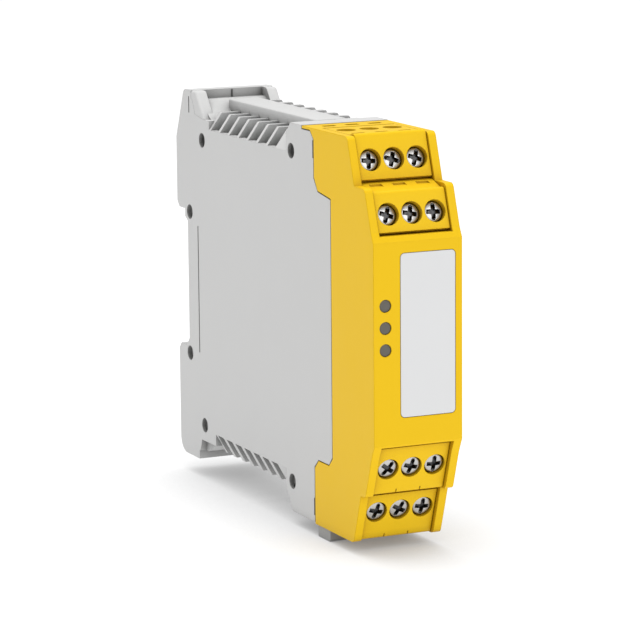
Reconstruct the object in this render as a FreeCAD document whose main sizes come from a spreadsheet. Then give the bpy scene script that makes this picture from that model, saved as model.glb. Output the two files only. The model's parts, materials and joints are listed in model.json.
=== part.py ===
import FreeCAD
import Part
import Sketcher
import math
import os

# A DIN rail safety relay, 22.5 mm wide, in millimetres.
# X runs across the module, the front looks along -Y and Z is up. The origin is the
# middle of the box's base. Depths are measured forward from the rear face, heights
# from the base, and half widths from the seam where the two housing halves meet.

doc = FreeCAD.newDocument("SafetyRelay")
sheet = doc.addObject("Spreadsheet::Sheet", "Sizes")

sizes = [
    # the whole module
    ("moduleWidth", 22.5),
    ("moduleDepth", 114.5),
    ("wall", 1.8),
    ("splitGap", 0.25),
    # rear face, rail slot and foot
    ("footLevel", 4.7),
    ("footRound", 4.0),
    ("footFront", 12.3),
    ("footShelf", 6.9),
    ("footShelfFront", 14.4),
    ("footRampFront", 21.0),
    ("footLedge", 10.0),
    ("footCheekFront", 14.0),
    ("railLow", 33.2),
    ("railHigh", 68.5),
    ("railSeat", 5.0),
    ("slotFloor", 6.7),
    ("slotStep", 2.0),
    ("slotLead", 1.4),
    ("hookRear", 1.3),
    ("railThick", 1.2),
    ("hookReach", 1.6),
    ("hookHalf", 7.0),
    # top lug at the rear
    ("lugFoot", 86.4),
    ("lugTop", 99.0),
    ("lugSlant", 5.2),
    ("lugRound", 1.8),
    ("lugRim", 9.9),
    ("lugShelf", 96.8),
    ("lugShelfFront", 12.0),
    ("lugRampFront", 19.0),
    ("lugLedge", 92.4),
    ("lugCheekFront", 12.3),
    ("lugCheekLow", 93.3),
    ("lugCheek", 1.55),
    # vented bands between the lugs and the front block
    ("bandRear", 21.2),
    ("bandFront", 67.6),
    ("ventTop", 94.5),
    ("ventShoulder", 90.2),
    ("ventChamfer", 3.1),
    ("raisedTop", 96.8),
    ("raisedShoulder", 92.4),
    ("raisedRoot", 95.1),
    ("raisedFlat", 0.3),
    ("raisedBevel", 1.9),
    ("ventBottom", 8.1),
    ("lowShoulder", 13.0),
    ("lowChamfer", 2.75),
    ("lowBandRear", 23.0),
    ("lowBandFront", 66.0),
    ("ventCount", 7),
    ("ventSlot", 4.5),
    ("ventPitch", 5.75),
    ("raisedVentCount", 7),
    ("raisedVentPitch", 6.55),
    ("lowVentSlot", 3.6),
    ("lowVentPitch", 5.5),
    ("ventInset", 1.2),
    ("spine", 0.9),
    ("raisedSpine", 3.0),
    # front block of the housing, under the cover's rear edge
    ("blockTop", 97.2),
    ("blockFront", 70.2),
    ("blockLow", 3.2),
    ("blockLowRear", 69.6),
    ("cavityRear", 10.0),
    ("tongueLow", 34.0),
    ("tongueHigh", 70.0),
    ("tongueReach", 5.0),
    ("tongueThick", 1.2),
    # side details
    ("socketRadius", 1.85),
    ("socketDeep", 1.2),
    ("grooveDepthPlace", 13.0),
    ("grooveWide", 0.5),
    ("grooveDeep", 0.3),
    ("grooveLow", 32.5),
    ("grooveHigh", 65.0),
    ("slitWide", 0.45),
    ("slitTall", 4.2),
    ("slitHigh", 94.3),
    ("slitLow", 1.6),
    ("slitDeep", 0.6),
    ("lugGrooveInset", 1.7),
    ("lugGrooveTall", 4.1),
    # front cover
    ("coverTop", 97.1),
    ("coverBottom", 2.8),
    ("lipRear", 76.7),
    ("lipThick", 0.6),
    ("lipFront", 83.6),
    ("coverRearHigh", 83.1),
    ("coverRearMid", 92.2),
    ("coverRearLow", 82.4),
    ("coverStepHigh", 81.7),
    ("coverStepLow", 20.4),
    ("coverCorner", 2.0),
    ("cheek", 2.0),
    ("cheekLead", 1.9),
    ("cheekRound", 1.5),
    ("upperStep", 86.2),
    ("lowerStep", 14.7),
    ("panelHigh", 76.5),
    ("panelBend", 74.3),
    ("panelLow", 27.5),
    ("panelFoot", 24.1),
    ("panelThick", 2.0),
    ("shelfThick", 1.3),
    ("bottomLipFront", 91.0),
    ("bottomLipThick", 1.6),
    # label and indicator lenses in the panel
    ("labelLeft", 4.4),
    ("labelRight", 9.46),
    ("labelLow", 33.8),
    ("labelHigh", 71.6),
    ("labelThick", 0.5),
    ("labelRound", 1.0),
    ("labelGap", 0.12),
    ("lensPlace", 8.25),
    ("lensRadius", 1.4),
    ("lensGap", 0.08),
    ("lensHigh", 59.85),
    ("lensPitch", 5.1),
    ("pipeRadius", 0.85),
    ("pipeReach", 3.0),
    # plug-in terminal blocks
    ("faceTilt", 18.5),
    ("plugGap", 0.15),
    ("slideGap", 0.3),
    ("headRecess", 0.4),
    ("faceRound", 1.6),
    ("latchNotch", 1.6),
    ("latchNotchDeep", 0.7),
    ("bridgeTall", 0.8),
    ("bridgeDeep", 0.5),
    ("dimpleRadius", 0.45),
    ("dimpleInset", 2.2),
    ("splitWide", 0.4),
    ("splitTall", 1.3),
    ("upperRearScrew", 101.2),
    ("upperRearHeight", 91.25),
    ("upperRearBack", 84.4),
    ("upperFrontScrew", 110.3),
    ("upperFrontHeight", 79.9),
    ("upperFrontTop", 84.9),
    ("frontPlugBack", 92.8),
    ("lowerFrontScrew", 110.1),
    ("lowerFrontHeight", 21.4),
    ("lowerFrontBottom", 15.3),
    ("lowerRearScrew", 103.9),
    ("lowerRearHeight", 10.05),
    ("lowerRearTop", 14.4),
    ("lowerRearBottom", 3.3),
    ("lowerRearBack", 91.4),
    ("poles", 3),
    ("polePitch", 5.92),
    # terminal screws, nuts and their bores
    ("headRadius", 2.45),
    ("headThick", 1.7),
    ("boreRadius", 2.95),
    ("boreFloorGap", 0.2),
    ("shankRadius", 1.1),
    ("shankGap", 0.1),
    ("screwLength", 6.2),
    ("recessWide", 0.8),
    ("recessLong", 4.0),
    ("recessDeep", 1.0),
    ("chamberRear", 6.5),
    ("chamberFront", 2.7),
    ("chamberHalf", 1.75),
    ("chamberHalfWide", 2.1),
    ("nutHalf", 1.5),
    ("nutHalfWide", 1.85),
    ("nutFront", 4.2),
    ("nutThick", 1.8),
    ("wireWide", 3.2),
    ("wireLong", 2.4),
    ("wireDepth", 4.7),
    ("wellPlace", 89.6),
    ("wellRadius", 2.3),
    ("wellFoot", 1.6),
    ("wellDeep", 4.4),
    ("lipHoleWide", 3.3),
    ("lipHoleLong", 1.8),
    ("lipHolePlace", 79.4),
    # contacts, pins and headers
    ("pinDrop", 1.6),
    ("pinSize", 1.0),
    ("pinTail", 3.0),
    ("pinGap", 0.12),
    ("contactWide", 2.2),
    ("contactTall", 2.2),
    ("chamberWall", 0.5),
    ("contactLip", 1.0),
    ("contactSink", 0.8),
    ("contactGap", 0.1),
    ("headerThick", 3.0),
    ("headerTall", 5.0),
    # rail latch and its spring
    ("channelHalf", 7.3),
    ("mouthHalf", 5.5),
    ("mouthDeep", 1.8),
    ("channelDeep", 4.5),
    ("channelLow", 5.6),
    ("latchLow", 9.0),
    ("latchGap", 0.3),
    ("latchTip", 34.8),
    ("wellHalf", 2.3),
    ("wellFront", 8.6),
    ("wellLow", 11.5),
    ("wellHigh", 27.5),
    ("springTop", 24.5),
    ("springBends", 7),
    ("springStrip", 0.9),
    ("lugThick", 1.6),
    # foot block under the cover
    ("footBlockRear", 83.3),
    ("footBlockFront", 90.0),
    ("footBlockHalf", 10.9),
    ("footBlockBevel", 0.5),
    # boards and the parts on them
    ("boardThick", 1.6),
    ("boardStand", 0.85),
    ("boardRear", 14.0),
    ("boardFront", 79.0),
    ("boardTongueFront", 85.6),
    ("boardLow", 15.0),
    ("boardHigh", 88.0),
    ("boardTongueLow", 24.0),
    ("boardTongueHigh", 76.0),
    ("postRadius", 2.0),
    ("postInset", 4.0),
    ("frontBoardPlace", 105.8),
    ("frontBoardThick", 1.2),
    ("boardClear", 0.2),
]
for row, (alias, number) in enumerate(sizes, start=1):
    sheet.set(f"A{row}", alias)
    sheet.set(f"B{row}", str(number))
    sheet.setAlias(f"B{row}", alias)
doc.recompute()


# A length together with the sheet expression that it comes from, so one formula both
# places a point and binds it to the sheet.
class Size:
    def __init__(self, value, text):
        self.value = float(value)
        self.text = text

    def __add__(self, other):
        other = asSize(other)
        return Size(self.value + other.value, f"({self.text} + {other.text})")

    def __sub__(self, other):
        other = asSize(other)
        return Size(self.value - other.value, f"({self.text} - {other.text})")

    def __mul__(self, other):
        other = asSize(other)
        return Size(self.value * other.value, f"({self.text} * {other.text})")

    def __truediv__(self, other):
        other = asSize(other)
        return Size(self.value / other.value, f"({self.text} / {other.text})")

    def __neg__(self):
        return Size(-self.value, f"(0 - {self.text})")

    def __radd__(self, other):
        return asSize(other) + self

    def __rsub__(self, other):
        return asSize(other) - self

    def __rmul__(self, other):
        return asSize(other) * self


def asSize(item):
    if isinstance(item, Size):
        return item
    return Size(item, f"({float(item)!r})")


def tangent(angle):
    return Size(math.tan(math.radians(angle.value)), f"tan({angle.text})")


def cosine(angle):
    return Size(math.cos(math.radians(angle.value)), f"cos({angle.text})")


def sine(angle):
    return Size(math.sin(math.radians(angle.value)), f"sin({angle.text})")


class Sheet:
    pass


s = Sheet()
for alias, number in sizes:
    setattr(s, alias, Size(sheet.get(alias), f"Sizes.{alias}"))

half = s.moduleWidth / 2
zero = asSize(0)
subParts = {}


def bind(item, prop, size):
    item.setExpression(prop, asSize(size).text)


# Y of a depth that is measured forward from the rear face.
def alongY(depth):
    return s.moduleDepth / 2 - depth


def sideCorners(points):
    return [(alongY(depth), asSize(height)) for depth, height in points]


def newBody(name):
    body = doc.addObject("PartDesign::Body", name)
    body.Label = name
    subParts[name] = body
    return body


def originPlane(body, role):
    for item in body.Origin.OriginFeatures:
        if item.Role == role:
            return item
    raise ValueError(role)


def attach(item, body, role, shift):
    item.AttachmentSupport = [(originPlane(body, role), "")]
    item.MapMode = "FlatFace"
    item.AttachmentOffset.Base.z = 0
    bind(item, "AttachmentOffset.Base.z", shift)


# A closed sketch with straight sides, every corner bound to the sheet.
def addOutline(body, name, role, corners, shift=zero):
    sketch = body.newObject("Sketcher::SketchObject", name)
    attach(sketch, body, role, shift)
    count = len(corners)
    for index, (across, up) in enumerate(corners):
        nextAcross, nextUp = corners[(index + 1) % count]
        start = FreeCAD.Vector(asSize(across).value, asSize(up).value, 0)
        end = FreeCAD.Vector(asSize(nextAcross).value, asSize(nextUp).value, 0)
        sketch.addGeometry(Part.LineSegment(start, end), False)
    for index, corner in enumerate(corners):
        following = (index + 1) % count
        sketch.addConstraint(Sketcher.Constraint("Coincident", index, 2, following, 1))
        for kind, place in zip(("DistanceX", "DistanceY"), corner):
            place = asSize(place)
            number = sketch.addConstraint(Sketcher.Constraint(kind, -1, 1, index, 1, place.value))
            bind(sketch, f"Constraints[{number}]", place)
    return sketch


def addCircle(body, name, role, across, up, radius, shift=zero):
    sketch = body.newObject("Sketcher::SketchObject", name)
    attach(sketch, body, role, shift)
    centre = FreeCAD.Vector(across.value, up.value, 0)
    sketch.addGeometry(Part.Circle(centre, FreeCAD.Vector(0, 0, 1), radius.value), False)
    number = sketch.addConstraint(Sketcher.Constraint("Radius", 0, radius.value))
    bind(sketch, f"Constraints[{number}]", radius)
    for kind, place in (("DistanceX", across), ("DistanceY", up)):
        number = sketch.addConstraint(Sketcher.Constraint(kind, -1, 1, 0, 3, place.value))
        bind(sketch, f"Constraints[{number}]", place)
    return sketch


def addPad(body, sketch, length, reverse=False, middle=False):
    pad = body.newObject("PartDesign::Pad", sketch.Name + "Pad")
    pad.Profile = sketch
    pad.Reversed = reverse
    pad.Midplane = middle
    bind(pad, "Length", length)
    return pad


def addPocket(body, sketch, length, reverse=False, middle=False):
    pocket = body.newObject("PartDesign::Pocket", sketch.Name + "Pocket")
    pocket.Profile = sketch
    pocket.Reversed = reverse
    pocket.Midplane = middle
    bind(pocket, "Length", length)
    return pocket


def addRow(body, features, role, count, pitch, reverse=False):
    pattern = body.newObject("PartDesign::LinearPattern", features[0].Name + "Row")
    pattern.Originals = features
    pattern.Direction = (originPlane(body, role), [""])
    pattern.Reversed = reverse
    bind(pattern, "Occurrences", count)
    bind(pattern, "Length", pitch * (count - 1))
    body.Tip = pattern
    return pattern


# Rounds the edges that cross the given plane at the given corners.
def roundCorners(body, corners, radius, name, role="YZ_Plane"):
    doc.recompute()
    base = body.Tip
    names = []
    for number, edge in enumerate(base.Shape.Edges, start=1):
        if len(edge.Vertexes) != 2:
            continue
        first = edge.Vertexes[0].Point
        last = edge.Vertexes[1].Point
        for across, up in corners:
            firstAcross = first.x if role == "XZ_Plane" else first.y
            lastAcross = last.x if role == "XZ_Plane" else last.y
            offset = math.hypot(firstAcross - across.value, first.z - up.value)
            skew = math.hypot(firstAcross - lastAcross, first.z - last.z)
            if offset < 0.01 and skew < 0.01:
                names.append(f"Edge{number}")
    fillet = body.newObject("PartDesign::Fillet", name)
    fillet.Base = (base, names)
    bind(fillet, "Radius", radius)
    return fillet


# A straight round or tapered hole along the tool's own +Z, turned about X.
def addDrill(body, name, place, turn, foot, mouth, length):
    kind = "PartDesign::SubtractiveCylinder"
    if foot is not mouth:
        kind = "PartDesign::SubtractiveCone"
    drill = body.newObject(kind, name)
    drill.AttachmentSupport = [(originPlane(body, "XY_Plane"), "")]
    drill.MapMode = "FlatFace"
    setOffset(drill, place, turn)
    if foot is mouth:
        bind(drill, "Radius", foot)
    else:
        bind(drill, "Radius1", foot)
        bind(drill, "Radius2", mouth)
    bind(drill, "Height", length)
    return drill


def addBoxCut(body, name, place, turn, length, width, height):
    box = body.newObject("PartDesign::SubtractiveBox", name)
    box.AttachmentSupport = [(originPlane(body, "XY_Plane"), "")]
    box.MapMode = "FlatFace"
    setOffset(box, place, turn)
    bind(box, "Length", length)
    bind(box, "Width", width)
    bind(box, "Height", height)
    return box


def setOffset(item, place, turn):
    angle = asSize(turn)
    base = FreeCAD.Vector(*[asSize(part).value for part in place])
    item.AttachmentOffset = FreeCAD.Placement(
        base, FreeCAD.Rotation(FreeCAD.Vector(1, 0, 0), angle.value))
    for letter, part in zip("xyz", place):
        bind(item, f"AttachmentOffset.Base.{letter}", part)
    bind(item, "AttachmentOffset.Rotation.Angle", angle)


def placeItem(item, place, turn=zero):
    angle = asSize(turn)
    base = FreeCAD.Vector(*[asSize(part).value for part in place])
    item.Placement = FreeCAD.Placement(
        base, FreeCAD.Rotation(FreeCAD.Vector(1, 0, 0), angle.value))
    for letter, part in zip("xyz", place):
        bind(item, f"Placement.Base.{letter}", part)
    bind(item, "Placement.Rotation.Angle", angle)


# Primitives for the plain pieces. A box is given by its middle and its three sizes.
def addBox(name, middle, across, deep, tall, turn=zero):
    box = doc.addObject("Part::Box", name)
    bind(box, "Length", across)
    bind(box, "Width", deep)
    bind(box, "Height", tall)
    corner = (middle[0] - across / 2, middle[1] - deep / 2, middle[2] - tall / 2)
    placeItem(box, corner, turn)
    return box


def addCylinder(name, place, turn, radius, length):
    cylinder = doc.addObject("Part::Cylinder", name)
    bind(cylinder, "Radius", radius)
    bind(cylinder, "Height", length)
    placeItem(cylinder, place, turn)
    return cylinder


def keep(item, name):
    item.Label = name
    subParts[name] = item
    return item


def addCut(name, base, tool):
    cut = doc.addObject("Part::Cut", name)
    cut.Base = base
    cut.Tool = tool
    return cut


def addGroup(name, members):
    group = doc.addObject("Part::Compound", name)
    group.Links = members
    return keep(group, name)


# ---- terminal tiers ----
# Each tier of three poles has its screw heads at one depth and height. The upper tiers
# look forward and up, the lower ones forward and down.
class Tier:
    def __init__(self, name, depth, height, low, high, rear, sign, deepWells):
        self.name = name
        self.depth = depth
        self.height = height
        self.low = low
        self.high = high
        self.rear = rear
        self.sign = sign
        self.deepWells = deepWells

    # Depth of the tilted front line at a height, led forward of the screw heads.
    def front(self, height, lead):
        run = (self.height - height) * self.sign * tangent(s.faceTilt)
        return self.depth + lead + run

    # Turn about X that points the tool's +Z outwards along the screws.
    def turn(self):
        return 90 - s.faceTilt * self.sign

    # Y and Z at a distance inwards along a screw from the face of its head.
    def inward(self, distance):
        y = alongY(self.depth) + distance * cosine(s.faceTilt)
        z = self.height - distance * sine(s.faceTilt) * self.sign
        return y, z

    def pinHeight(self):
        return self.height - s.pinDrop * self.sign

    # Depth where the contacts end, a wall behind the nuts' chambers.
    def contactFront(self):
        corner = s.chamberHalf * sine(s.faceTilt)
        return self.depth - s.chamberRear * cosine(s.faceTilt) - corner - s.chamberWall


shelfUnder = s.upperStep + s.splitGap - s.shelfThick + 0.1
upperShelfTop = shelfUnder + s.shelfThick
panelShelfTop = s.panelHigh - 0.9
lowShelfBottom = s.panelLow - 0.5
tiers = [
    Tier("upper_rear", s.upperRearScrew, s.upperRearHeight,
         upperShelfTop + s.slideGap, s.coverTop, s.upperRearBack, 1, True),
    Tier("upper_front", s.upperFrontScrew, s.upperFrontHeight,
         panelShelfTop + s.slideGap, s.upperFrontTop, s.frontPlugBack, 1, False),
    Tier("lower_front", s.lowerFrontScrew, s.lowerFrontHeight,
         s.lowerFrontBottom, lowShelfBottom - s.slideGap, s.frontPlugBack, -1, False),
    Tier("lower_rear", s.lowerRearScrew, s.lowerRearHeight,
         s.lowerRearBottom, s.lowerRearTop, s.lowerRearBack, -1, False),
]


def poleOffsets():
    middle = (s.poles - 1) / 2
    return [(asSize(index) - middle) * s.polePitch for index in range(int(s.poles.value))]


# ---- housing halves ----
# Profile of the housing at the seam, seen from the side: foot, rail slot, top lug, vented
# bands and the front block that the cover's rear edge meets.
def housingProfile(bandTop):
    gap = s.splitGap
    lipUnder = s.coverTop - s.lipThick
    return [
        (zero, s.footLevel),
        (zero, s.railLow - s.slotLead),
        (s.slotLead, s.railLow),
        (s.railSeat, s.railLow),
        (s.slotFloor, s.railLow + s.slotStep),
        (s.slotFloor, s.railHigh - s.slotStep - 1),
        (s.railSeat, s.railHigh - s.slotStep),
        (s.railSeat, s.railHigh),
        (s.slotLead, s.railHigh),
        (zero, s.railHigh + s.slotLead),
        (zero, s.lugFoot),
        (s.lugSlant, s.lugTop),
        (s.lugRim, s.lugTop),
        (s.lugRim, s.lugShelf),
        (s.lugShelfFront, s.lugShelf),
        (s.lugRampFront, s.lugLedge),
        (s.bandRear, s.lugLedge),
        (s.bandRear, bandTop),
        (s.bandFront, bandTop),
        (s.blockFront, s.blockTop),
        (s.lipRear - gap, s.blockTop),
        (s.lipRear - gap, lipUnder - gap),
        (s.coverRearHigh - s.coverCorner, lipUnder - gap),
        (s.coverRearHigh - gap, lipUnder - s.coverCorner),
        (s.coverRearHigh - gap, s.coverStepHigh + 2 * s.coverCorner - gap),
        (s.coverRearHigh + s.coverCorner, s.coverStepHigh + s.coverCorner / 2 - gap),
        (s.coverRearMid - gap, s.coverStepHigh - gap),
        (s.coverRearMid - gap, s.coverStepLow + gap),
        (s.coverRearMid - s.coverCorner, s.coverStepLow - s.coverCorner + gap),
        (s.coverRearLow + s.coverCorner, s.coverStepLow - s.coverCorner + gap),
        (s.coverRearLow - gap, s.coverStepLow - 2 * s.coverCorner + gap),
        (s.coverRearLow - gap, s.blockLow),
        (s.blockLowRear, s.blockLow),
        (s.lowBandFront, s.ventBottom),
        (s.lowBandRear, s.ventBottom),
        (s.lowBandRear, s.footLedge),
        (s.footRampFront, s.footLedge),
        (s.footShelfFront, s.footShelf),
        (s.footFront, s.footShelf),
        (s.footFront, s.footLevel),
    ]


def makeHousingHalf(name, side):
    body = newBody(name)
    left = side < 0
    bandTop = s.ventTop
    shoulder = s.ventShoulder
    slotInner = s.spine
    slotPitch = s.ventPitch
    slotCount = s.ventCount
    if not left:
        bandTop = s.raisedTop
        shoulder = s.raisedShoulder
        slotInner = s.raisedSpine
        slotPitch = s.raisedVentPitch
        slotCount = s.raisedVentCount
    outer = addOutline(body, name + "Side", "YZ_Plane", sideCorners(housingProfile(bandTop)))
    addPad(body, outer, half, reverse=left)
    roundCorners(body, sideCorners([(zero, s.footLevel)]), s.footRound, name + "FootRound")
    roundCorners(body, sideCorners([(s.lugSlant, s.lugTop)]), s.lugRound, name + "LugRound")

    # the hollow, cut from the seam plane: full width in the middle, narrower behind the vents
    inner = half - s.wall
    hollow = [
        (s.cavityRear, s.lowShoulder + 0.5),
        (s.bandFront + s.wall, s.lowShoulder + 0.5),
        (s.blockLowRear + s.wall, s.blockLow + s.wall),
        (s.coverRearMid + 3, s.blockLow + s.wall),
        (s.coverRearMid + 3, s.blockTop - 2 * s.wall),
        (s.blockFront, s.blockTop - 2 * s.wall),
        (s.bandFront + s.wall, s.ventShoulder - 0.7),
        (s.cavityRear, s.ventShoulder - 0.7),
    ]
    sketch = addOutline(body, name + "Hollow", "YZ_Plane", sideCorners(hollow))
    addPocket(body, sketch, inner, reverse=not left)
    bandHollow = [
        (s.bandRear + s.wall, s.ventBottom + s.wall),
        (s.bandFront + s.wall, s.ventBottom + s.wall),
        (s.bandFront + s.wall, s.ventTop - s.wall),
        (s.bandRear + s.wall, s.ventTop - s.wall),
    ]
    sketch = addOutline(body, name + "BandHollow", "YZ_Plane", sideCorners(bandHollow))
    addPocket(body, sketch, half - s.ventChamfer - s.ventInset, reverse=not left)

    # chamfered shoulders of the bands; the sketches lie across the module
    def across(points):
        return [(asSize(place) * side, asSize(height)) for place, height in points]

    def frontShift(depth):
        return depth - s.moduleDepth / 2

    over = half + 1
    slope = (bandTop - shoulder) / s.ventChamfer
    topCut = [(half - s.ventChamfer, bandTop), (half - s.ventChamfer - 1, bandTop + 2),
              (over, bandTop + 2), (over, shoulder - slope)]
    sketch = addOutline(body, name + "TopChamfer", "XZ_Plane", across(topCut), frontShift(s.bandRear))
    addPocket(body, sketch, s.bandFront - s.bandRear, reverse=True)
    lowSlope = (s.lowShoulder - s.ventBottom) / s.lowChamfer
    lowCut = [(half - s.lowChamfer, s.ventBottom), (half - s.lowChamfer - 1, s.ventBottom - 2),
              (over, s.ventBottom - 2), (over, s.lowShoulder + lowSlope)]
    sketch = addOutline(body, name + "LowChamfer", "XZ_Plane", across(lowCut), frontShift(s.lowBandRear))
    addPocket(body, sketch, s.lowBandFront - s.lowBandRear, reverse=True)
    if not left:
        seamCut = [(-1, s.ventTop), (s.raisedFlat, s.ventTop), (s.raisedFlat, s.raisedRoot),
                   (s.raisedFlat + s.raisedBevel, s.raisedTop), (s.raisedFlat + s.raisedBevel, s.raisedTop + 2),
                   (-1, s.raisedTop + 2)]
        sketch = addOutline(body, name + "SeamBevel", "XZ_Plane", across(seamCut), frontShift(s.bandRear))
        addPocket(body, sketch, s.bandFront - s.bandRear, reverse=True)

    # one vent slot round the shoulder, then the row of them; the slots open into the hollow
    floor = s.ventShoulder - 1.7
    topSlot = [(over, shoulder), (inner + 0.15, shoulder), (inner - 0.15, floor), (slotInner, floor),
               (slotInner, bandTop + 2), (over, bandTop + 2)]
    sketch = addOutline(body, name + "TopSlot", "XZ_Plane", across(topSlot),
                        frontShift(s.bandRear + s.ventInset))
    slot = addPocket(body, sketch, s.ventSlot, reverse=True)
    addRow(body, [slot], "Y_Axis", slotCount, slotPitch, reverse=True)
    roof = s.lowShoulder + 1.7
    lowSlot = [(over, s.lowShoulder), (inner + 0.15, s.lowShoulder), (inner - 0.15, roof), (s.spine, roof),
               (s.spine, s.ventBottom - 2), (over, s.ventBottom - 2)]
    sketch = addOutline(body, name + "LowSlot", "XZ_Plane", across(lowSlot),
                        frontShift(s.lowBandRear + s.ventInset))
    slot = addPocket(body, sketch, s.lowVentSlot, reverse=True)
    addRow(body, [slot], "Y_Axis", s.ventCount, s.lowVentPitch, reverse=True)

    # the cheeks of the lug and of the foot fall away steeper than the ramps between them
    lugSide = [
        (s.lugRim, s.lugShelf + 1.4),
        (s.lugCheekFront, s.lugCheekLow),
        (s.lugRampFront - s.lugCheek, s.lugLedge),
        (s.bandRear - 0.01, s.lugLedge),
        (s.bandRear - 0.01, s.lugTop + 1),
        (s.lugRim, s.lugTop + 1),
    ]
    sketch = addOutline(body, name + "LugCheek", "YZ_Plane", sideCorners(lugSide),
                        (half - s.lugCheek) * side)
    addPocket(body, sketch, s.lugCheek + 1, reverse=not left)
    footSide = [
        (s.footFront, s.footShelf - 1.4),
        (s.footCheekFront, s.footLedge),
        (s.lowBandRear - 0.4, s.footLedge),
        (s.lowBandRear - 0.4, s.footLevel - 1),
        (s.footFront, s.footLevel - 1),
    ]
    sketch = addOutline(body, name + "FootCheek", "YZ_Plane", sideCorners(footSide),
                        (half - s.lugCheek) * side)
    addPocket(body, sketch, s.lugCheek + 1, reverse=not left)

    # blind sockets and the fine groove in the side wall
    sockets = [
        (s.cavityRear + 6.6, s.ventShoulder - 3.1),
        (s.blockFront + 0.2, s.ventShoulder + 0.3),
        (s.slotFloor + 1.4, s.railHigh - 0.5),
        (s.slotFloor + 0.4, s.railLow - s.slotStep + 0.2),
        (s.cavityRear + 6.0, s.lowShoulder + 1.1),
        (s.blockLowRear - 0.1, s.lowShoulder - 2.5),
    ]
    for number, (depth, height) in enumerate(sockets, start=1):
        sketch = addCircle(body, f"{name}Socket{number}", "YZ_Plane", alongY(depth), height,
                           s.socketRadius, (half - s.socketDeep) * side)
        addPocket(body, sketch, s.socketDeep + 1, reverse=not left)
    groove = [
        (s.grooveDepthPlace, s.grooveLow),
        (s.grooveDepthPlace + s.grooveWide, s.grooveLow),
        (s.grooveDepthPlace + s.grooveWide, s.grooveHigh),
        (s.grooveDepthPlace, s.grooveHigh),
    ]
    sketch = addOutline(body, name + "Groove", "YZ_Plane", sideCorners(groove),
                        (half - s.grooveDeep) * side)
    addPocket(body, sketch, s.grooveDeep + 1, reverse=not left)

    # narrow slits beside the cover's rear edge, where its clips are reached, and the lug's groove
    slits = [
        ("HighSlit", s.coverRearHigh - s.splitGap - s.slitWide, s.slitHigh - s.slitTall, s.slitWide + 1,
         s.slitTall),
        ("LowSlit", s.coverRearLow - s.splitGap - s.slitWide, s.blockLow + s.slitLow, s.slitWide + 1, s.slitTall),
        ("LugGroove", s.lugRim - s.lugGrooveInset, s.lugCheekLow, s.grooveWide, s.lugGrooveTall),
    ]
    for label, rear, low, wide, tall in slits:
        corners = [(rear, low), (rear + wide, low), (rear + wide, low + tall), (rear, low + tall)]
        sketch = addOutline(body, name + label, "YZ_Plane", sideCorners(corners), (half - s.slitDeep) * side)
        addPocket(body, sketch, s.slitDeep + 1, reverse=not left)

    # the fixed hook at the top of the rail slot
    hookFront = s.railSeat - s.railThick
    hook = [
        (s.hookRear, s.railHigh + 0.5),
        (s.hookRear + 0.8, s.railHigh - s.hookReach),
        (hookFront, s.railHigh - s.hookReach),
        (hookFront, s.railHigh + 0.5),
    ]
    sketch = addOutline(body, name + "Hook", "YZ_Plane", sideCorners(hook))
    addPad(body, sketch, s.hookHalf, reverse=left)

    # the latch's channel, its narrower mouth and the well for its spring
    def channel(label, rear, front, low, high, reach):
        corners = [(rear, low), (front, low), (front, high), (rear, high)]
        cut = addOutline(body, name + label, "YZ_Plane", sideCorners(corners))
        addPocket(body, cut, reach, reverse=not left)

    channel("Mouth", asSize(-1), s.mouthDeep, s.channelLow, s.railLow + 1, s.mouthHalf)
    channel("Channel", s.mouthDeep, s.channelDeep, s.channelLow, s.railLow + 1, s.channelHalf)
    channel("Well", s.channelDeep - 0.1, s.wellFront, s.wellLow, s.wellHigh, s.wellHalf)

    # the tongue that enters the cover behind its panel
    root = s.coverRearMid - s.splitGap - 5
    tongue = [
        ((half - s.wall + 0.2) * side, alongY(root)),
        ((half - s.wall + 0.2) * side, alongY(s.coverRearMid - s.splitGap)),
        ((half - s.cheek - s.plugGap) * side, alongY(s.coverRearMid - s.splitGap)),
        ((half - s.cheek - s.plugGap) * side, alongY(s.coverRearMid + s.tongueReach)),
        ((half - s.cheek - s.plugGap - s.tongueThick) * side, alongY(s.coverRearMid + s.tongueReach)),
        ((half - s.cheek - s.plugGap - s.tongueThick) * side, alongY(root)),
    ]
    sketch = addOutline(body, name + "Tongue", "XY_Plane", tongue, s.tongueLow)
    addPad(body, sketch, s.tongueHigh - s.tongueLow)

    # posts that carry the main board
    if left:
        for number, depth in enumerate((s.boardRear + s.postInset, s.boardFront - s.postInset)):
            for level, height in enumerate((s.boardLow + s.postInset, s.boardHigh - s.postInset)):
                sketch = addCircle(body, f"{name}Post{number}{level}", "YZ_Plane", alongY(depth), height,
                                   s.postRadius, -(half - s.wall - s.boardStand))
                addPad(body, sketch, s.boardStand + 0.3, reverse=True)
    return body


makeHousingHalf("left_housing_half", -1)
makeHousingHalf("right_housing_half", 1)


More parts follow.
